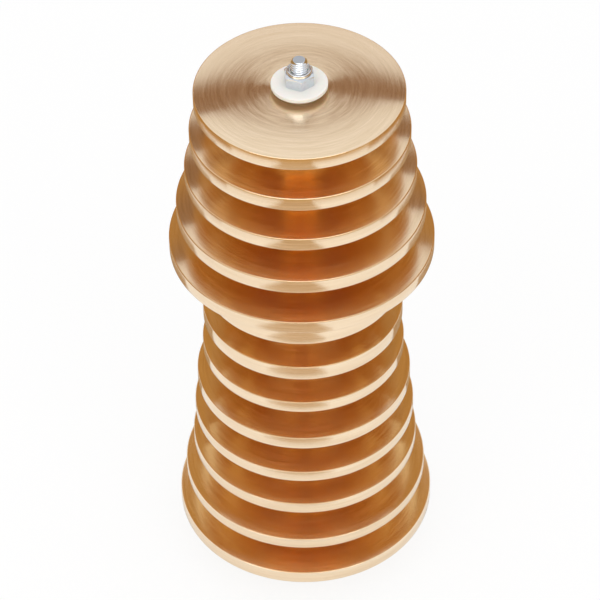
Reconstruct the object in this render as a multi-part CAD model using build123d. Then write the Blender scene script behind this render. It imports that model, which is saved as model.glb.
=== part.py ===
from build123d import *

import math
import os

# A set of crotales, one chromatic octave, stacked on a threaded rod. Millimetres, +Z up.
# The rod's axis is the Z axis, and the stack stands on the lower lock nut at z = 0.

# Each crotale is tuned by its own rim diameter and thickness. The naturals, low to high
LOW_C_DIAMETER = 100.0
LOW_C_THICKNESS = 5.5
D_DIAMETER = 94.3
D_THICKNESS = 4.8
E_DIAMETER = 87.3
E_THICKNESS = 5.1
F_DIAMETER = 84.9
F_THICKNESS = 5.0
G_DIAMETER = 82.0
G_THICKNESS = 5.6
A_DIAMETER = 76.8
A_THICKNESS = 5.1
B_DIAMETER = 75.5
B_THICKNESS = 6.4
HIGH_C_DIAMETER = 74.5
HIGH_C_THICKNESS = 5.7

# The sharps, low to high
C_SHARP_DIAMETER = 98.3
C_SHARP_THICKNESS = 5.3
D_SHARP_DIAMETER = 91.7
D_SHARP_THICKNESS = 5.7
F_SHARP_DIAMETER = 84.4
F_SHARP_THICKNESS = 5.3
G_SHARP_DIAMETER = 79.8
G_SHARP_THICKNESS = 5.5
A_SHARP_DIAMETER = 75.7
A_SHARP_THICKNESS = 5.2

# The form that every disc shares: a flat face with broken edges over a turned boss
BOSS_DIAMETER = 29.0
BOSS_HEIGHT = 9.9
BOSS_ROOT_RADIUS = 2.0
BOSS_EDGE_CHAMFER = 0.6
RIM_CHAMFER = 0.4
HOLE_CHAMFER = 0.4

# The rod, and how far its two ends reach
ROD_DIAMETER = 6.0
ROD_TIP_CHAMFER = 0.8
ROD_ABOVE_TOP_WASHER = 10.0
ROD_INSIDE_FOOT = 0.3

# The nylon washers: a small one on each crotale, and a large one at each end of the stack
SMALL_WASHER_DIAMETER = 12.5
SMALL_WASHER_THICKNESS = 1.6
LARGE_WASHER_DIAMETER = 20.3
LARGE_WASHER_THICKNESS = 1.7

# The lock nuts: a hexagon, and a round collar that is rolled over a nylon ring
NUT_ACROSS_FLATS = 10.0
NUT_HEIGHT = 6.0
NUT_HEXAGON_HEIGHT = 4.6
NUT_FACE_DIAMETER = 9.4
NUT_BEARING_DIAMETER = 10.8
NUT_CHAMFER_ANGLE = 30.0
COLLAR_DIAMETER = 9.1
COLLAR_ROLL_RADIUS = 0.45
COLLAR_LIP_THICKNESS = 0.45
COLLAR_OPENING_DIAMETER = 7.0
RING_DIAMETER = 8.2
RING_HEIGHT = 1.3
UPPER_NUT_TURN = -22.5

# Radial clearances on the rod
HOLE_CLEARANCE = 0.1
WASHER_CLEARANCE = 0.1
THREAD_CLEARANCE = 0.05

# Note, diameter and thickness, in the order in which the discs go on the rod
CROTALES = [
    ("low_c", LOW_C_DIAMETER, LOW_C_THICKNESS),
    ("d", D_DIAMETER, D_THICKNESS),
    ("e", E_DIAMETER, E_THICKNESS),
    ("f", F_DIAMETER, F_THICKNESS),
    ("g", G_DIAMETER, G_THICKNESS),
    ("a", A_DIAMETER, A_THICKNESS),
    ("b", B_DIAMETER, B_THICKNESS),
    ("high_c", HIGH_C_DIAMETER, HIGH_C_THICKNESS),
    ("c_sharp", C_SHARP_DIAMETER, C_SHARP_THICKNESS),
    ("d_sharp", D_SHARP_DIAMETER, D_SHARP_THICKNESS),
    ("f_sharp", F_SHARP_DIAMETER, F_SHARP_THICKNESS),
    ("g_sharp", G_SHARP_DIAMETER, G_SHARP_THICKNESS),
    ("a_sharp", A_SHARP_DIAMETER, A_SHARP_THICKNESS),
]


def rounded(section, corner, radius):
    """The section with its corner nearest the given point rounded."""
    return fillet(section.vertices().sort_by_distance(corner)[0], radius)


def bevelled(section, corner, length):
    """The section with its corner nearest the given point cut at 45 degrees."""
    return chamfer(section.vertices().sort_by_distance(corner)[0], length)


def turned(section):
    """A section drawn as (radius, height), turned about the rod's axis."""
    return revolve(Plane.XZ * section, Axis.Z)


def crotale(diameter, thickness):
    """A crotale that rests on the end of its boss at z = 0, as one turned section."""
    hole = ROD_DIAMETER / 2 + HOLE_CLEARANCE
    boss = BOSS_DIAMETER / 2
    rim = diameter / 2
    top = BOSS_HEIGHT + thickness
    outline = Polyline(
        (hole, 0),
        (boss, 0),
        (boss, BOSS_HEIGHT),
        (rim, BOSS_HEIGHT),
        (rim, top),
        (hole, top),
        close=True,
    )
    section = make_face(outline)
    section = rounded(section, (boss, BOSS_HEIGHT), BOSS_ROOT_RADIUS)
    section = bevelled(section, (boss, 0), BOSS_EDGE_CHAMFER)
    section = bevelled(section, (rim, BOSS_HEIGHT), RIM_CHAMFER)
    section = bevelled(section, (rim, top), RIM_CHAMFER)
    section = bevelled(section, (hole, top), HOLE_CHAMFER)
    return turned(section)


def washer(diameter, thickness):
    """A nylon washer that lies on z = 0, punched from sheet with square edges."""
    hole = ROD_DIAMETER / 2 + WASHER_CLEARANCE
    edge = diameter / 2
    outline = Polyline(
        (hole, 0),
        (edge, 0),
        (edge, thickness),
        (hole, thickness),
        close=True,
    )
    return turned(make_face(outline))


def lock_nut():
    """A lock nut with its bearing face at z = 0 and its collar upwards.

    A hexagonal bar is cut by one turned section, which gives the cone under the corners at each
    end of the hexagon, the round collar with its rolled edge, and the seat of the nylon ring.
    """
    thread = ROD_DIAMETER / 2 + THREAD_CLEARANCE
    corner = NUT_ACROSS_FLATS / 2 / math.cos(math.radians(30))
    bearing = NUT_BEARING_DIAMETER / 2
    face = NUT_FACE_DIAMETER / 2
    slope = math.tan(math.radians(NUT_CHAMFER_ANGLE))
    lower_cone = (corner - bearing) * slope
    upper_cone = (corner - face) * slope
    collar = COLLAR_DIAMETER / 2
    opening = COLLAR_OPENING_DIAMETER / 2
    ring = RING_DIAMETER / 2
    ring_top = NUT_HEIGHT - COLLAR_LIP_THICKNESS
    ring_bottom = ring_top - RING_HEIGHT
    outline = Polyline(
        (thread, 0),
        (bearing, 0),
        (corner, lower_cone),
        (corner, NUT_HEXAGON_HEIGHT - upper_cone),
        (face, NUT_HEXAGON_HEIGHT),
        (collar, NUT_HEXAGON_HEIGHT),
        (collar, NUT_HEIGHT),
        (opening, NUT_HEIGHT),
        (opening, ring_top),
        (ring, ring_top),
        (ring, ring_bottom),
        (thread, ring_bottom),
        close=True,
    )
    section = rounded(make_face(outline), (collar, NUT_HEIGHT), COLLAR_ROLL_RADIUS)
    hexagon = RegularPolygon(NUT_ACROSS_FLATS / 2, 6, major_radius=False)
    return extrude(hexagon, NUT_HEIGHT) & turned(section)


def lock_ring():
    """The nylon ring in its seat in the nut, which grips the rod's thread."""
    thread = ROD_DIAMETER / 2 + THREAD_CLEARANCE
    ring = RING_DIAMETER / 2
    ring_top = NUT_HEIGHT - COLLAR_LIP_THICKNESS
    outline = Polyline(
        (thread, ring_top - RING_HEIGHT),
        (ring, ring_top - RING_HEIGHT),
        (ring, ring_top),
        (thread, ring_top),
        close=True,
    )
    return turned(make_face(outline))


def threaded_rod(bottom, top):
    """The rod at its thread's outside diameter, with both tips tapered for the nuts."""
    radius = ROD_DIAMETER / 2
    outline = Polyline(
        (0, bottom),
        (radius, bottom),
        (radius, top),
        (0, top),
        close=True,
    )
    section = bevelled(make_face(outline), (radius, bottom), ROD_TIP_CHAMFER)
    section = bevelled(section, (radius, top), ROD_TIP_CHAMFER)
    return turned(section)


def assembly():
    """Every piece in its place, by name, built up from the foot."""
    pieces = {}
    foot = Pos(0, 0, NUT_HEIGHT) * Rot(180, 0, 0)
    pieces["lower_lock_nut"] = foot * lock_nut()
    pieces["lower_lock_ring"] = foot * lock_ring()

    height = NUT_HEIGHT
    pieces["bottom_washer"] = Pos(0, 0, height) * washer(LARGE_WASHER_DIAMETER, LARGE_WASHER_THICKNESS)
    height += LARGE_WASHER_THICKNESS
    for note, diameter, thickness in CROTALES:
        pieces["crotale_" + note] = Pos(0, 0, height) * crotale(diameter, thickness)
        height += BOSS_HEIGHT + thickness
        small = washer(SMALL_WASHER_DIAMETER, SMALL_WASHER_THICKNESS)
        pieces["washer_on_" + note] = Pos(0, 0, height) * small
        height += SMALL_WASHER_THICKNESS

    pieces["top_washer"] = Pos(0, 0, height) * washer(LARGE_WASHER_DIAMETER, LARGE_WASHER_THICKNESS)
    height += LARGE_WASHER_THICKNESS
    seat = Pos(0, 0, height) * Rot(0, 0, UPPER_NUT_TURN)
    pieces["upper_lock_nut"] = seat * lock_nut()
    pieces["upper_lock_ring"] = seat * lock_ring()
    pieces["threaded_rod"] = threaded_rod(ROD_INSIDE_FOOT, height + ROD_ABOVE_TOP_WASHER)
    return pieces


os.makedirs("parts", exist_ok=True)
for name, solid in assembly().items():
    export_step(solid, f"parts/{name}.step")
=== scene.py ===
import math

import bmesh
import bpy
from mathutils import Matrix, Vector


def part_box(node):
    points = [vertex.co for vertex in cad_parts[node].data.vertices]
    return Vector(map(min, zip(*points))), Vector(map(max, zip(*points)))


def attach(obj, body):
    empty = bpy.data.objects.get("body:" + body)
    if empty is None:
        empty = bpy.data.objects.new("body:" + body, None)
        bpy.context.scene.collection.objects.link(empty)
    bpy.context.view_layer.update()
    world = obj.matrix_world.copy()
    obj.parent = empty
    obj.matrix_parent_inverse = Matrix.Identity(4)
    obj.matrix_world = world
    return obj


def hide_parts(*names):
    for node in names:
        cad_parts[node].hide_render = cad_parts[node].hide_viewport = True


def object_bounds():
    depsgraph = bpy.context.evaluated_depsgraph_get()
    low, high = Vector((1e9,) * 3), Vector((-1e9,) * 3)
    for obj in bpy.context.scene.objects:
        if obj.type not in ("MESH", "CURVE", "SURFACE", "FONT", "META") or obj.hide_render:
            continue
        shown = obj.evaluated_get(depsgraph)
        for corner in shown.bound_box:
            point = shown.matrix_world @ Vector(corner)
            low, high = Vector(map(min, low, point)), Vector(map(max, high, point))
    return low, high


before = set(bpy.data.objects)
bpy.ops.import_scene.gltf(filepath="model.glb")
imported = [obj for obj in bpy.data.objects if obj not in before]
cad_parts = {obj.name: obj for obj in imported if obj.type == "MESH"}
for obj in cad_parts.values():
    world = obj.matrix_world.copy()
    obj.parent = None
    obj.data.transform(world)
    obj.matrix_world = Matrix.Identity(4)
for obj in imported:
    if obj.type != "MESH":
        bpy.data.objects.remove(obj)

MM = 0.001
cad_low, cad_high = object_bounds()

# The camera
# It looks down at the stack from in front, 43.7 degrees above the horizon, from about 1.1 m away.
# Its place, turn and lens come from the rims of all the discs in the photograph.

CAMERA_AIM = Vector((0, 0, 122.6 * MM))
CAMERA_DISTANCE = 1098.1 * MM
CAMERA_TO_THE_RIGHT = 8.4 * MM
CAMERA_ELEVATION = math.radians(43.72)
CAMERA_YAW = math.radians(0.683)
CAMERA_ROLL = math.radians(0.973)
CAMERA_LENS = 174.2
CAMERA_SENSOR = 36

camera = bpy.data.objects.new("camera", bpy.data.cameras.new("camera"))
bpy.context.collection.objects.link(camera)
camera.data.sensor_width = CAMERA_SENSOR
camera.data.lens = CAMERA_LENS
away = Vector((0, -math.cos(CAMERA_ELEVATION), math.sin(CAMERA_ELEVATION))) * CAMERA_DISTANCE
spot = CAMERA_AIM + away + Vector((CAMERA_TO_THE_RIGHT, 0, 0))
tilt = Matrix.Rotation(math.radians(90) - CAMERA_ELEVATION, 4, "X")
turn = Matrix.Rotation(CAMERA_YAW, 4, "Z")
roll = Matrix.Rotation(-CAMERA_ROLL, 4, "Z")
camera.matrix_world = Matrix.Translation(spot) @ turn @ tilt @ roll
bpy.context.scene.camera = camera

# The threaded rod
# A length of M6 threaded rod in bright zinc-plated steel, cut off square and tapered at both ends so
# that the nuts start easily. Discs, washers and nuts all sit on it.

PITCH = 1 * MM
THREAD_CREST = 2.97 * MM
THREAD_FLANK_FOOT = 2.46 * MM
THREAD_ROOT = 2.40 * MM
THREAD_STEPS = 32
SPARE_TURNS = 2
TIP_TAPER = 0.8 * MM
ROD_RADIUS = 3 * MM
SMOOTH_UNDER = math.radians(35)
HAIR = 0.01 * MM
MERGED_UNDER = HAIR / 10
CUT_WITHIN = HAIR / 100

ZINC = (0.78, 0.81, 0.86, 1)
ZINC_CLOUDED = (0.54, 0.58, 0.64, 1)
SAWN_STEEL = (0.46, 0.50, 0.56, 1)
ZINC_CLOUDS = 900
ZINC_TOOTH = 5000
TOOTH_HEIGHT = 0.02 * MM
NOISE_LOW = 0.3
NOISE_HIGH = 0.7


def add_node(tree, kind, **settings):
    """A new shader node. Settings name its properties, or its sockets by number as in_0."""
    node = tree.nodes.new(kind)
    for key, value in settings.items():
        if key.startswith("in_"):
            node.inputs[int(key[3:])].default_value = value
        else:
            setattr(node, key, value)
    return node


def join(tree, *links):
    """Links each (output socket, input socket) pair."""
    for source, target in links:
        tree.links.new(source, target)


def zinc_plate(name, bright, dull, smoothest, roughest):
    """Bright zinc over steel, faintly clouded, with a fine tooth. Scales are in cycles per metre."""
    material = bpy.data.materials.new(name)
    material.use_nodes = True
    tree = material.node_tree
    shader = tree.nodes["Principled BSDF"]
    place = add_node(tree, "ShaderNodeTexCoord")
    clouds = add_node(tree, "ShaderNodeTexNoise")
    clouds.inputs["Scale"].default_value = ZINC_CLOUDS
    tooth = add_node(tree, "ShaderNodeTexNoise")
    tooth.inputs["Scale"].default_value = ZINC_TOOTH
    tone = add_node(tree, "ShaderNodeMix", data_type="RGBA")
    tone.inputs["A"].default_value = bright
    tone.inputs["B"].default_value = dull
    satin = add_node(tree, "ShaderNodeMapRange")
    satin.inputs["From Min"].default_value = NOISE_LOW
    satin.inputs["From Max"].default_value = NOISE_HIGH
    satin.inputs["To Min"].default_value = smoothest
    satin.inputs["To Max"].default_value = roughest
    bump = add_node(tree, "ShaderNodeBump")
    bump.inputs["Strength"].default_value = 0.3
    bump.inputs["Distance"].default_value = TOOTH_HEIGHT
    for noise in (clouds, tooth):
        join(tree, (place.outputs["Object"], noise.inputs["Vector"]))
    join(tree, (clouds.outputs["Fac"], tone.inputs["Factor"]))
    join(tree, (tone.outputs["Result"], shader.inputs["Base Color"]))
    join(tree, (clouds.outputs["Fac"], satin.inputs["Value"]))
    join(tree, (satin.outputs["Result"], shader.inputs["Roughness"]))
    join(tree, (tooth.outputs["Fac"], bump.inputs["Height"]), (bump.outputs[0], shader.inputs["Normal"]))
    shader.inputs["Metallic"].default_value = 1
    return material


zinc = zinc_plate("bright_zinc", ZINC, ZINC_CLOUDED, smoothest=0.08, roughest=0.2)
sawn = zinc_plate("sawn_steel", SAWN_STEEL, ZINC_CLOUDED, smoothest=0.30, roughest=0.50)

rod_low, rod_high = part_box("threaded_rod")
turns = math.ceil((rod_high.z - rod_low.z) / PITCH) + 2 * SPARE_TURNS
start = rod_low.z - SPARE_TURNS * PITCH
bpy.ops.object.select_all(action="DESELECT")
bpy.ops.mesh.primitive_plane_add(size=PITCH)
rod = bpy.context.object
rod.name = "zinc_threaded_rod"
rod.data.name = "zinc_threaded_rod"
bpy.ops.object.mode_set(mode="EDIT")
bpy.ops.mesh.select_all(action="SELECT")
bpy.ops.mesh.merge(type="CENTER")
bpy.ops.transform.translate(value=(THREAD_CREST, 0, start))
# Radius, and height as a share of the pitch
profile = [
    (THREAD_CREST, 0.125),
    (THREAD_FLANK_FOOT, 0.4375),
    (THREAD_ROOT, 0.5625),
    (THREAD_FLANK_FOOT, 0.6875),
    (THREAD_CREST, 1),
]
before_radius, before_height = THREAD_CREST, 0
for radius, height in profile:
    step = (radius - before_radius, 0, (height - before_height) * PITCH)
    bpy.ops.mesh.extrude_vertices_move(TRANSFORM_OT_translate={"value": step})
    before_radius, before_height = radius, height
bpy.ops.object.mode_set(mode="OBJECT")
bpy.ops.object.transform_apply(location=True, rotation=True, scale=True)
thread = rod.modifiers.new("thread", "SCREW")
thread.axis = "Z"
thread.screw_offset = PITCH
thread.iterations = turns
thread.steps = THREAD_STEPS
thread.render_steps = THREAD_STEPS
thread.use_merge_vertices = True
thread.merge_threshold = MERGED_UNDER
bpy.ops.object.modifier_apply(modifier="thread")
bpy.ops.object.mode_set(mode="EDIT")
bpy.ops.mesh.select_all(action="SELECT")
bpy.ops.mesh.remove_doubles(threshold=MERGED_UNDER)
for height, outward in ((rod_high.z, 1), (rod_low.z, -1)):
    bpy.ops.mesh.select_all(action="SELECT")
    bpy.ops.mesh.bisect(
        plane_co=(0, 0, height),
        plane_no=(0, 0, outward),
        use_fill=True,
        clear_outer=True,
        threshold=CUT_WITHIN,
    )
mesh = bmesh.from_edit_mesh(rod.data)
for vert in mesh.verts:
    to_tip = min(rod_high.z - vert.co.z, vert.co.z - rod_low.z)
    limit = ROD_RADIUS - TIP_TAPER + max(to_tip, 0)
    reach = math.hypot(vert.co.x, vert.co.y)
    if reach > limit:
        vert.co.x *= limit / reach
        vert.co.y *= limit / reach
bmesh.update_edit_mesh(rod.data)
bpy.ops.mesh.select_all(action="SELECT")
bpy.ops.mesh.normals_make_consistent(inside=False)
bpy.ops.object.mode_set(mode="OBJECT")
bpy.ops.object.shade_smooth_by_angle(angle=SMOOTH_UNDER)
rod.data.materials.clear()
rod.data.materials.append(zinc)
rod.data.materials.append(sawn)
# The cuts leave faces with more than four corners only at the rod's sawn ends
for face in rod.data.polygons:
    if len(face.vertices) > 4:
        face.material_index = 1
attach(rod, "rod")
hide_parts("threaded_rod")

# The lock nuts
# Two low M6 lock nuts, cold-formed and zinc-plated. Each has a hexagon with chamfered corners and a
# round collar, which is rolled inwards over a nylon ring. The lower one is screwed on upside down.

NUT_ACROSS_FLATS = 10 * MM
NUT_CORNER = NUT_ACROSS_FLATS / 2 / math.cos(math.radians(30))
NUT_HEIGHT = 6 * MM
UPPER_NUT_TURN = math.radians(-22.5)
NUT_BORE = 3.05 * MM
BEARING_RADIUS = 5.4 * MM
SHOULDER_RADIUS = 4.7 * MM
SHOULDER_HEIGHT = 4.6 * MM
COLLAR_RADIUS = 4.55 * MM
COLLAR_ROLL = 0.45 * MM
OPENING_RADIUS = 3.5 * MM
LIP = 0.45 * MM
RING_RADIUS = 4.1 * MM
RING_HEIGHT = 1.3 * MM
BLANK_RADIUS = 5.9 * MM
CONE_SLOPE = math.tan(math.radians(30))
CORNER_BEVEL = 0.15 * MM
RING_EDGE = 0.12 * MM
NUT_SIDES = 128

NYLON = (0.82, 0.805, 0.765, 1)
NYLON_SHADE = (0.77, 0.755, 0.71, 1)
NYLON_CLOUDS = 300
NYLON_TOOTH = 2500
NYLON_SMOOTHEST = 0.38
NYLON_ROUGHEST = 0.52
GLOW_DEPTH = 1.5 * MM


def select_edges(piece, wanted):
    """Selects the edges, and no others, whose two ends both pass the test. Used in edit mode."""
    bpy.ops.mesh.select_mode(type="EDGE")
    bpy.ops.mesh.select_all(action="DESELECT")
    mesh = bmesh.from_edit_mesh(piece.data)
    for edge in mesh.edges:
        if all(wanted(end.co) for end in edge.verts):
            edge.select_set(True)
    bmesh.update_edit_mesh(piece.data)


def select_caps(piece):
    """Selects the many-sided faces that close the two ends of a turning's bore."""
    bpy.ops.mesh.select_mode(type="FACE")
    bpy.ops.mesh.select_all(action="DESELECT")
    mesh = bmesh.from_edit_mesh(piece.data)
    for face in mesh.faces:
        if len(face.verts) > 4:
            face.select_set(True)
    bmesh.update_edit_mesh(piece.data)


def turn_on_lathe(name, rings, sides):
    """A bored turning. Its rings, as (radius, height), go from the bore's lower edge to its upper one."""
    bpy.ops.object.select_all(action="DESELECT")
    radius, height = rings[0]
    bpy.ops.mesh.primitive_circle_add(
        vertices=sides,
        radius=radius,
        fill_type="NGON",
        location=(0, 0, height),
    )
    piece = bpy.context.object
    piece.name = name
    piece.data.name = name
    bpy.ops.object.transform_apply(location=True, rotation=True, scale=True)
    bpy.ops.object.mode_set(mode="EDIT")
    for next_radius, next_height in rings[1:]:
        rise = (0, 0, next_height - height)
        growth = next_radius / radius
        bpy.ops.mesh.extrude_region_move(TRANSFORM_OT_translate={"value": rise})
        bpy.ops.transform.resize(value=(growth, growth, 1), center_override=(0, 0, next_height))
        radius, height = next_radius, next_height
    select_caps(piece)
    bpy.ops.mesh.delete(type="ONLY_FACE")
    bpy.ops.mesh.select_mode(type="EDGE")
    bpy.ops.mesh.select_non_manifold()
    bpy.ops.mesh.bridge_edge_loops()
    bpy.ops.mesh.select_all(action="SELECT")
    bpy.ops.mesh.normals_make_consistent(inside=False)
    return piece


def break_edge(piece, radius, height, width, steps):
    """Bevels the turning's circular edge at this radius and height."""
    select_edges(piece, lambda p: abs(p.z - height) < HAIR and abs(math.hypot(p.x, p.y) - radius) < HAIR)
    bpy.ops.mesh.bevel(offset=width, segments=steps, profile=0.5, affect="EDGES")


def finish_turning(piece, material):
    """Leaves edit mode, smooths the round faces and gives the piece its material."""
    bpy.ops.object.mode_set(mode="OBJECT")
    bpy.ops.object.shade_smooth_by_angle(angle=SMOOTH_UNDER)
    piece.data.materials.clear()
    piece.data.materials.append(material)


def form_lock_nut(name):
    """A lock nut that stands on its bearing face at height 0, with its hexagon's first corner on +X."""
    ring_top = NUT_HEIGHT - LIP
    blank = turn_on_lathe(name + "_blank", [
        (NUT_BORE, 0),
        (BEARING_RADIUS, 0),
        (BLANK_RADIUS, (BLANK_RADIUS - BEARING_RADIUS) * CONE_SLOPE),
        (BLANK_RADIUS, SHOULDER_HEIGHT - (BLANK_RADIUS - SHOULDER_RADIUS) * CONE_SLOPE),
        (SHOULDER_RADIUS, SHOULDER_HEIGHT),
        (COLLAR_RADIUS, SHOULDER_HEIGHT),
        (COLLAR_RADIUS, NUT_HEIGHT),
        (OPENING_RADIUS, NUT_HEIGHT),
        (OPENING_RADIUS, ring_top),
        (RING_RADIUS, ring_top),
        (RING_RADIUS, ring_top - RING_HEIGHT),
        (NUT_BORE, ring_top - RING_HEIGHT),
    ], NUT_SIDES)
    break_edge(blank, COLLAR_RADIUS, NUT_HEIGHT, COLLAR_ROLL, steps=6)
    break_edge(blank, OPENING_RADIUS, NUT_HEIGHT, LIP / 3, steps=3)
    bpy.ops.object.mode_set(mode="OBJECT")
    bpy.ops.object.select_all(action="DESELECT")
    bpy.ops.mesh.primitive_cylinder_add(
        vertices=6,
        radius=NUT_CORNER,
        depth=NUT_HEIGHT,
        location=(0, 0, NUT_HEIGHT / 2),
        rotation=(0, 0, math.radians(30)),
    )
    nut = bpy.context.object
    nut.name = name
    nut.data.name = name
    bpy.ops.object.transform_apply(location=True, rotation=True, scale=True)
    bpy.ops.object.mode_set(mode="EDIT")
    bpy.ops.mesh.select_mode(type="EDGE")
    bpy.ops.mesh.select_all(action="DESELECT")
    mesh = bmesh.from_edit_mesh(nut.data)
    for edge in mesh.edges:
        edge.select_set(abs(edge.verts[0].co.z - edge.verts[1].co.z) > HAIR)
    bmesh.update_edit_mesh(nut.data)
    bpy.ops.mesh.bevel(offset=CORNER_BEVEL, segments=2, profile=0.5, affect="EDGES")
    bpy.ops.object.mode_set(mode="OBJECT")
    cut = nut.modifiers.new("turned_form", "BOOLEAN")
    cut.operation = "INTERSECT"
    cut.object = blank
    bpy.ops.object.modifier_apply(modifier="turned_form")
    bpy.data.objects.remove(blank)
    return nut


def seat_piece(piece, height, turn, upside_down):
    """Puts a finished piece on the rod with its bearing face at this height, and applies its place."""
    bpy.ops.object.select_all(action="DESELECT")
    piece.select_set(True)
    bpy.context.view_layer.objects.active = piece
    piece.rotation_euler = (math.pi if upside_down else 0, 0, turn)
    piece.location = (0, 0, height)
    bpy.ops.object.transform_apply(location=True, rotation=True, scale=True)


def smooth_nylon():
    """Off-white nylon, slightly cloudy inside, with a soft gloss."""
    material = bpy.data.materials.new("off_white_nylon")
    material.use_nodes = True
    tree = material.node_tree
    shader = tree.nodes["Principled BSDF"]
    place = add_node(tree, "ShaderNodeTexCoord")
    clouds = add_node(tree, "ShaderNodeTexNoise")
    clouds.inputs["Scale"].default_value = NYLON_CLOUDS
    tone = add_node(tree, "ShaderNodeMix", data_type="RGBA")
    tone.inputs["A"].default_value = NYLON
    tone.inputs["B"].default_value = NYLON_SHADE
    satin = add_node(tree, "ShaderNodeMapRange")
    satin.inputs["To Min"].default_value = NYLON_SMOOTHEST
    satin.inputs["To Max"].default_value = NYLON_ROUGHEST
    tooth = add_node(tree, "ShaderNodeTexNoise")
    tooth.inputs["Scale"].default_value = NYLON_TOOTH
    bump = add_node(tree, "ShaderNodeBump")
    bump.inputs["Strength"].default_value = 0.15
    bump.inputs["Distance"].default_value = TOOTH_HEIGHT
    for noise in (clouds, tooth):
        join(tree, (place.outputs["Object"], noise.inputs["Vector"]))
    join(tree, (clouds.outputs["Fac"], tone.inputs["Factor"]))
    join(tree, (tone.outputs["Result"], shader.inputs["Base Color"]))
    join(tree, (tooth.outputs["Fac"], satin.inputs["Value"]))
    join(tree, (satin.outputs["Result"], shader.inputs["Roughness"]))
    join(tree, (tooth.outputs["Fac"], bump.inputs["Height"]), (bump.outputs[0], shader.inputs["Normal"]))
    shader.inputs["Subsurface Weight"].default_value = 0.2
    shader.inputs["Subsurface Scale"].default_value = GLOW_DEPTH
    return material


nylon = smooth_nylon()
# Bearing face's height, turn, whether it is upside down, and the body it rides on
nut_places = {
    "lower": (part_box("lower_lock_nut")[1].z, 0, True, "rod"),
    "upper": (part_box("upper_lock_nut")[0].z, UPPER_NUT_TURN, False, "upper_nut"),
}
for end, (height, turn, upside_down, body) in nut_places.items():
    nut = form_lock_nut("zinc_" + end + "_lock_nut")
    nut.data.materials.clear()
    nut.data.materials.append(zinc)
    seat_piece(nut, height, turn, upside_down)
    bpy.ops.object.shade_smooth_by_angle(angle=SMOOTH_UNDER)
    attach(nut, body)
    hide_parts(end + "_lock_nut")

    ring_top = NUT_HEIGHT - LIP
    ring = turn_on_lathe("nylon_" + end + "_lock_ring", [
        (NUT_BORE, ring_top - RING_HEIGHT),
        (RING_RADIUS, ring_top - RING_HEIGHT),
        (RING_RADIUS, ring_top),
        (NUT_BORE, ring_top),
    ], NUT_SIDES)
    break_edge(ring, NUT_BORE, ring_top, RING_EDGE, steps=3)
    finish_turning(ring, nylon)
    seat_piece(ring, height, turn, upside_down)
    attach(ring, body)
    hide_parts(end + "_lock_ring")

# The washers
# Fifteen flat washers in off-white nylon. A large one at each end of the stack lies under the nut,
# and a small one on each crotale keeps the next piece off its face.

WASHER_BORE = 3.1 * MM
WASHER_EDGE = 0.3 * MM
WASHER_SIDES = 128

for node in sorted(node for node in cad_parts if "washer" in node):
    low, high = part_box(node)
    edge = (high.x - low.x) / 2
    washer = turn_on_lathe("nylon_" + node, [
        (WASHER_BORE, low.z),
        (edge, low.z),
        (edge, high.z),
        (WASHER_BORE, high.z),
    ], WASHER_SIDES)
    for height in (low.z, high.z):
        break_edge(washer, edge, height, WASHER_EDGE, steps=4)
        break_edge(washer, WASHER_BORE, height, WASHER_EDGE / 2, steps=2)
    finish_turning(washer, nylon)
    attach(washer, "top_washer" if node == "top_washer" else "rod")
    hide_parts(node)

# The crotales
# Thirteen discs of bell bronze, one for each note. Each is turned on a lathe in one piece with its
# boss and drilled for the rod. Face and rim are brushed; the underside is smoother, and its deeper
# colour is painted light: it stands in for the orange light bounced between the discs.

BOSS_RADIUS = 14.5 * MM
BOSS_HEIGHT = 9.9 * MM
BOSS_ROOT = 2 * MM
HOLE_RADIUS = 3.1 * MM
BROKEN_EDGE = 0.4 * MM
RIM_SIDES = 256

BRONZE = (0.94, 0.765, 0.555, 1)
BRONZE_DARKER = (0.80, 0.61, 0.40, 1)
# Painted bounce light: the underside's deeper orange stands in for the light bounced between the discs
UNDERSIDE_PAINTED_ORANGE = (0.93, 0.75, 0.46, 1)
UNDERSIDE_PAINTED_DARKER = (0.88, 0.69, 0.40, 1)
BAND_SHARE = 0.4
LINE_SHARE = 0.6
GROOVE_DEPTH = 0.03 * MM
LACQUER_IOR = 1.8
LACQUER_ROUGHNESS = 0.15


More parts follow.
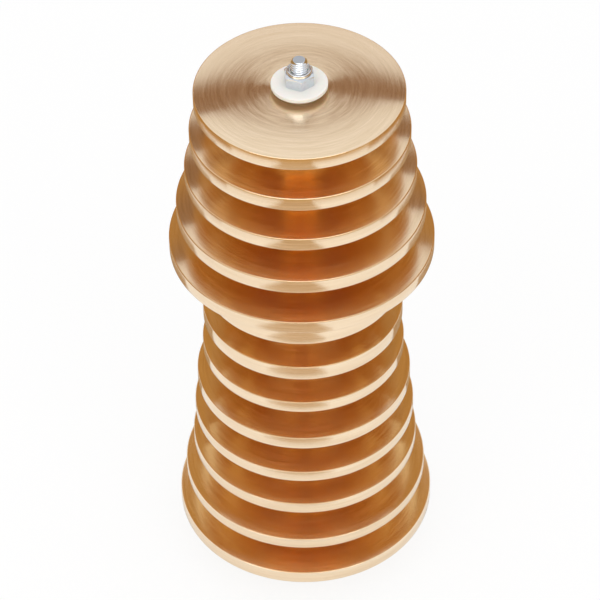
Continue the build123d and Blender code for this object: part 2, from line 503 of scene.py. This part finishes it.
def turned_bronze(name, light, dark, smoothest, roughest, lacquer):
    """Bell bronze with the lathe's fine lines, which run round the axis."""
    material = bpy.data.materials.new(name)
    material.use_nodes = True
    tree = material.node_tree
    shader = tree.nodes["Principled BSDF"]
    place = add_node(tree, "ShaderNodeTexCoord")
    flat = add_node(tree, "ShaderNodeVectorMath", operation="MULTIPLY", in_1=(1, 1, 0))
    radius = add_node(tree, "ShaderNodeVectorMath", operation="LENGTH")
    around = add_node(tree, "ShaderNodeVectorMath", operation="NORMALIZE")
    split = add_node(tree, "ShaderNodeSeparateXYZ")
    across = add_node(tree, "ShaderNodeMath", operation="ADD")
    groove = add_node(tree, "ShaderNodeVectorMath", operation="CROSS_PRODUCT", in_1=(0, 0, 1))
    join(tree, (place.outputs["Object"], flat.inputs[0]), (flat.outputs[0], radius.inputs[0]))
    join(tree, (flat.outputs[0], around.inputs[0]), (place.outputs["Object"], split.inputs[0]))
    join(tree, (radius.outputs["Value"], across.inputs[0]), (split.outputs["Z"], across.inputs[1]))
    join(tree, (around.outputs[0], groove.inputs[0]), (groove.outputs[0], shader.inputs["Tangent"]))

    def lines(per_metre, turns, detail):
        """Noise that is short across the grooves and long round the axis."""
        step = add_node(tree, "ShaderNodeMath", operation="MULTIPLY", in_1=per_metre)
        lift = add_node(tree, "ShaderNodeCombineXYZ")
        sweep = add_node(tree, "ShaderNodeVectorMath", operation="SCALE")
        sweep.inputs["Scale"].default_value = turns
        both = add_node(tree, "ShaderNodeVectorMath", operation="ADD")
        noise = add_node(tree, "ShaderNodeTexNoise")
        noise.inputs["Scale"].default_value = 1
        noise.inputs["Detail"].default_value = detail
        join(tree, (across.outputs[0], step.inputs[0]), (step.outputs[0], lift.inputs["Z"]))
        join(tree, (around.outputs[0], sweep.inputs[0]))
        join(tree, (sweep.outputs[0], both.inputs[0]), (lift.outputs[0], both.inputs[1]))
        join(tree, (both.outputs[0], noise.inputs["Vector"]))
        return noise.outputs["Fac"]

    def graded(value, low, high):
        """The noise's middle range, spread from low to high."""
        grade = add_node(tree, "ShaderNodeMapRange")
        grade.inputs["From Min"].default_value = NOISE_LOW
        grade.inputs["From Max"].default_value = NOISE_HIGH
        grade.inputs["To Min"].default_value = low
        grade.inputs["To Max"].default_value = high
        join(tree, (value, grade.inputs["Value"]))
        return grade.outputs["Result"]

    fine = lines(per_metre=1500, turns=2.5, detail=3)
    bands = lines(per_metre=500, turns=0.6, detail=3)
    both = add_node(tree, "ShaderNodeMath", operation="ADD")
    tone = add_node(tree, "ShaderNodeMix", data_type="RGBA")
    tone.inputs["A"].default_value = dark
    tone.inputs["B"].default_value = light
    bump = add_node(tree, "ShaderNodeBump")
    bump.inputs["Strength"].default_value = 0.3
    bump.inputs["Distance"].default_value = GROOVE_DEPTH
    join(tree, (graded(bands, 0, BAND_SHARE), both.inputs[0]))
    join(tree, (graded(fine, 0, LINE_SHARE), both.inputs[1]))
    join(tree, (both.outputs[0], tone.inputs["Factor"]))
    join(tree, (tone.outputs["Result"], shader.inputs["Base Color"]))
    join(tree, (graded(fine, smoothest, roughest), shader.inputs["Roughness"]))
    join(tree, (fine, bump.inputs["Height"]), (bump.outputs[0], shader.inputs["Normal"]))
    shader.inputs["Metallic"].default_value = 1
    shader.inputs["Anisotropic"].default_value = 1
    shader.inputs["Anisotropic Rotation"].default_value = 0.25
    shader.inputs["Coat Weight"].default_value = lacquer
    shader.inputs["Coat IOR"].default_value = LACQUER_IOR
    shader.inputs["Coat Roughness"].default_value = LACQUER_ROUGHNESS
    return material


bronze = turned_bronze(
    "brushed_bronze",
    BRONZE,
    BRONZE_DARKER,
    smoothest=0.14,
    roughest=0.18,
    lacquer=0.35,
)
# The underside's copy of the bronze, deeper in colour as painted bounce light
bounce_painted_bronze = turned_bronze(
    "underside_bounce_painted",
    UNDERSIDE_PAINTED_ORANGE,
    UNDERSIDE_PAINTED_DARKER,
    smoothest=0.06,
    roughest=0.09,
    lacquer=0,
)
crotale_nodes = [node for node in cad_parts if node.startswith("crotale_")]
for node in sorted(crotale_nodes):
    low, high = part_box(node)
    rim = (high.x - low.x) / 2
    underside = low.z + BOSS_HEIGHT
    rings = [
        (HOLE_RADIUS, low.z),
        (BOSS_RADIUS, low.z),
        (BOSS_RADIUS, underside),
        (rim, underside),
        (rim, high.z),
        (HOLE_RADIUS, high.z),
    ]
    disc = turn_on_lathe("bronze_" + node, rings, RIM_SIDES)
    break_edge(disc, BOSS_RADIUS, underside, BOSS_ROOT, steps=6)
    break_edge(disc, BOSS_RADIUS, low.z, BROKEN_EDGE, steps=3)
    break_edge(disc, rim, underside, BROKEN_EDGE, steps=3)
    break_edge(disc, rim, high.z, BROKEN_EDGE, steps=3)
    break_edge(disc, HOLE_RADIUS, high.z, BROKEN_EDGE, steps=3)
    finish_turning(disc, bronze)
    disc.data.materials.append(bounce_painted_bronze)
    # Faces under the disc, round the boss, get the painted bounce orange of the underside
    for face in disc.data.polygons:
        reach = math.hypot(face.center.x, face.center.y)
        if face.center.z < underside + HAIR and reach < rim - BROKEN_EDGE:
            face.material_index = 1
    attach(disc, node)
    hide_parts(node)

# The studio
# A light tent of white cloth with a brighter cloth over the camera. The light isn't neutral: the gap
# between wall and roof is brown. An orange collar round the stack is a painted reflection of the light
# bounced between the discs, a brown sheet on the floor in front is a painted shadow of the stack, and
# one behind it is painted shade on the floor; all three show in reflections alone.

FLOOR_SIZE = 6
PAPER = (0.9, 0.9, 0.9, 1)
PAPER_ROUGHNESS = 0.9
PAPER_GLOW = 0.85
TENT_LEVEL = 0.97
MOST_BOUNCES = 16
MOST_MIRRORINGS = 14

FRONT_CLOTH_SIZE = (2.4, 0.55)
FRONT_CLOTH_PLACE = (-0.1, -0.95, 1.25)
FRONT_CLOTH_TILT = 42
FRONT_CLOTH_WHITE = (1, 1, 1, 1)
FRONT_CLOTH_LEVEL = 3

GAP_BROWN = (0.30, 0.17, 0.09, 1)
GAP_LINE = [(-0.62, 0.85, 0.86, 1.16), (0, 0.85, 0.84, 0.995), (0.62, 0.85, 0.82, 0.98)]

SURROUND_RADIUS = 150 * MM
SURROUND_STEP = 8
SEAM_BEARING = 112
# Painted reflection: the collar's orange stands in for light bounced between the bronze discs
PAINTED_BOUNCE_ORANGE = (0.50, 0.27, 0.08, 1)
SURROUND_BOTTOM = 0.12
SURROUND_BACK_TOP = 0.262
SURROUND_SIDE_TOP = 0.325
PAINTED_BOUNCE_FRONT_ORANGE = (0.62, 0.39, 0.15, 1)
SURROUND_FRONT_BOTTOM = 0.145
SURROUND_FRONT_TOP = 0.285

SHEET_HEIGHT = 2 * MM
# Painted shade on the floor behind the stack, seen only in reflections
BACK_SHADE_SIZE = (0.46, 0.4)
BACK_SHADE_PLACE = (0, 0.26, SHEET_HEIGHT)
BACK_PAINTED_SHADE = (0.50, 0.33, 0.18, 1)
# Painted shadow of the stack on the floor in front, seen only in reflections
FRONT_SHADOW_SIZE = (0.17, 0.4)
FRONT_SHADOW_PLACE = (-0.02, -0.33, SHEET_HEIGHT)
FRONT_PAINTED_SHADOW = (0.66, 0.50, 0.34, 1)


def camera_sees_white(tree, paint, level):
    """Shows the camera plain white at this share, over the surface's own shader."""
    glow = add_node(tree, "ShaderNodeEmission")
    ray = add_node(tree, "ShaderNodeLightPath")
    share = add_node(tree, "ShaderNodeMath", operation="MULTIPLY", in_1=level)
    blend = add_node(tree, "ShaderNodeMixShader")
    join(tree, (ray.outputs["Is Camera Ray"], share.inputs[0]))
    join(tree, (share.outputs[0], blend.inputs["Fac"]))
    join(tree, (paint.outputs[0], blend.inputs[1]), (glow.outputs[0], blend.inputs[2]))
    join(tree, (blend.outputs[0], tree.nodes["Material Output"].inputs["Surface"]))


def glowing(name, color, strength=1):
    """The material of a cloth that gives off an even light."""
    material = bpy.data.materials.new(name)
    material.use_nodes = True
    tree = material.node_tree
    glow = add_node(tree, "ShaderNodeEmission")
    glow.inputs["Color"].default_value = color
    glow.inputs["Strength"].default_value = strength
    join(tree, (glow.outputs[0], tree.nodes["Material Output"].inputs["Surface"]))
    return material


def hang(cloth, material):
    """Puts a cloth of the tent in place, out of the camera's sight."""
    cloth.data.materials.append(material)
    cloth.visible_camera = False
    cloth.visible_shadow = False


def strip(name, line, material):
    """An upright cloth along a line of (x, y, bottom, top)."""
    corners = []
    for x, y, bottom, top in line:
        corners += [(x, y, bottom), (x, y, top)]
    faces = [(i, i + 2, i + 3, i + 1) for i in range(0, len(corners) - 2, 2)]
    cloth = bpy.data.objects.new(name, bpy.data.meshes.new(name))
    cloth.data.from_pydata(corners, [], faces)
    bpy.context.collection.objects.link(cloth)
    hang(cloth, material)
    return cloth


def round_the_stack(start, end, bottom, back_top, side_top):
    """The collar's line between two bearings in degrees, counted from straight behind the stack."""
    line = []
    for bearing in range(start, end + 1, SURROUND_STEP):
        turn = math.radians(bearing)
        x = SURROUND_RADIUS * math.sin(turn)
        y = SURROUND_RADIUS * math.cos(turn)
        line.append((x, y, bottom, back_top + (side_top - back_top) * math.sin(turn) ** 2))
    return line


def sheet(name, size, location, tilt, material):
    """A flat cloth, level or leaning over towards the stack."""
    bpy.ops.object.select_all(action="DESELECT")
    bpy.ops.mesh.primitive_plane_add(size=1, location=location, rotation=(math.radians(tilt), 0, 0))
    cloth = bpy.context.object
    cloth.name = name
    cloth.scale = (*size, 1)
    hang(cloth, material)
    return cloth


floor_white = bpy.data.materials.new("floor_white")
floor_white.use_nodes = True
paper = floor_white.node_tree.nodes["Principled BSDF"]
paper.inputs["Base Color"].default_value = PAPER
paper.inputs["Roughness"].default_value = PAPER_ROUGHNESS
camera_sees_white(floor_white.node_tree, paper, PAPER_GLOW)
bpy.ops.object.select_all(action="DESELECT")
bpy.ops.mesh.primitive_plane_add(size=FLOOR_SIZE, location=(0, 0, cad_low.z - HAIR))
floor = bpy.context.object
floor.name = "floor"
floor.data.materials.append(floor_white)

strip("tent_gap", GAP_LINE, glowing("gap_brown", GAP_BROWN))
front_white = glowing("front_white", FRONT_CLOTH_WHITE, FRONT_CLOTH_LEVEL)
sheet("front_cloth", FRONT_CLOTH_SIZE, FRONT_CLOTH_PLACE, FRONT_CLOTH_TILT, front_white)
back_half = round_the_stack(
    -SEAM_BEARING,
    SEAM_BEARING,
    SURROUND_BOTTOM,
    SURROUND_BACK_TOP,
    SURROUND_SIDE_TOP,
)
front_half = round_the_stack(
    SEAM_BEARING,
    360 - SEAM_BEARING,
    SURROUND_FRONT_BOTTOM,
    SURROUND_FRONT_TOP,
    SURROUND_FRONT_TOP,
)
back_shade_painted = glowing("back_shade_painted", BACK_PAINTED_SHADE)
front_shadow_painted = glowing("front_shadow_painted", FRONT_PAINTED_SHADOW)
# A painted reflection of bounced orange light, and painted shade and shadow on the floor, seen only in
# reflections
mirrored = [
    strip("painted_bounce_rear", back_half, glowing("back_bounce_paint", PAINTED_BOUNCE_ORANGE)),
    strip("painted_bounce_fore", front_half, glowing("front_bounce_paint", PAINTED_BOUNCE_FRONT_ORANGE)),
    sheet("floor_shade_painted", BACK_SHADE_SIZE, BACK_SHADE_PLACE, 0, back_shade_painted),
    sheet("floor_shadow_painted", FRONT_SHADOW_SIZE, FRONT_SHADOW_PLACE, 0, front_shadow_painted),
]
for cloth in mirrored:
    cloth.visible_diffuse = False

world = bpy.data.worlds.new("light_tent")
bpy.context.scene.world = world
world.use_nodes = True
tree = world.node_tree
sky = tree.nodes["Background"]
sky.inputs["Color"].default_value = (1, 1, 1, 1)
ray = add_node(tree, "ShaderNodeLightPath")
level = add_node(tree, "ShaderNodeMapRange")
level.inputs["To Min"].default_value = TENT_LEVEL
level.inputs["To Max"].default_value = 1
join(tree, (ray.outputs["Is Camera Ray"], level.inputs["Value"]))
join(tree, (level.outputs[0], sky.inputs["Strength"]))

scene = bpy.context.scene
scene.view_settings.view_transform = "Standard"
scene.cycles.max_bounces = MOST_BOUNCES
scene.cycles.glossy_bounces = MOST_MIRRORINGS
